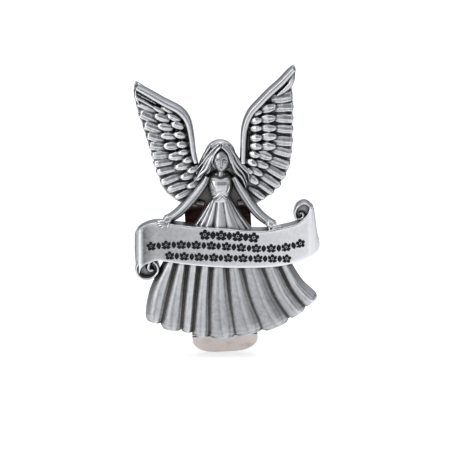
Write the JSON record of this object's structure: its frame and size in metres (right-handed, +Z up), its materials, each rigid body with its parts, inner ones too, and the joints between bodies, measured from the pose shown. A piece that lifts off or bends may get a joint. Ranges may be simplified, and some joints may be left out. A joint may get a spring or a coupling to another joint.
{
  "type": "clip-on visor ornament",
  "caption": "Pewter angel relief that holds a scroll banner, staked to a folded spring-steel clip that grips the edge of a sun visor.",
  "frame": {"origin": "on the seat face of the clip, which lies against the visor, on the clip's centre line between its two pegs", "axes": "+Z up towards the figure's head, +Y out of the seat face into the visor, -Y towards the viewer of the relief"},
  "size_m": [0.0437, 0.0117, 0.0706],
  "materials": {
    "pewter": "cast pewter, darkened in the recesses and buffed bright on the high parts",
    "spring_steel": "nickel-washed spring strip with a fine grain along its length",
    "black_enamel": "black enamel filled flush into the cast pockets"
  },
  "bodies": {
    "ornament": {"left_wing": "pewter", "right_wing": "pewter", "hair": "pewter", "head": "pewter", "bodice": "pewter", "left_arm": "pewter", "right_arm": "pewter", "upper_gown": "pewter", "lower_gown": "pewter", "banner": "pewter", "banner_left_scroll": "pewter", "banner_right_scroll": "pewter", "banner_enamel": "black_enamel", "back_web": "pewter", "clip_pegs": "pewter", "clip_seat_leaf": "spring_steel", "clip_bend": "spring_steel"},
    "spring_leaf": {"clip_spring_leaf": "spring_steel"}
  },
  "joints": [
    {"name": "jaw_flex", "type": "hinge", "parent": "ornament", "child": "spring_leaf", "pos_m": [-0.00084, 0.003, 0.01448], "axis": [0.9983, 0, 0.0576], "range_deg": [0, 22], "stiffness_Nm_per_rad": 0.25, "springref_deg": -5.73, "deforming": ["clip_bend"]}
  ]
}
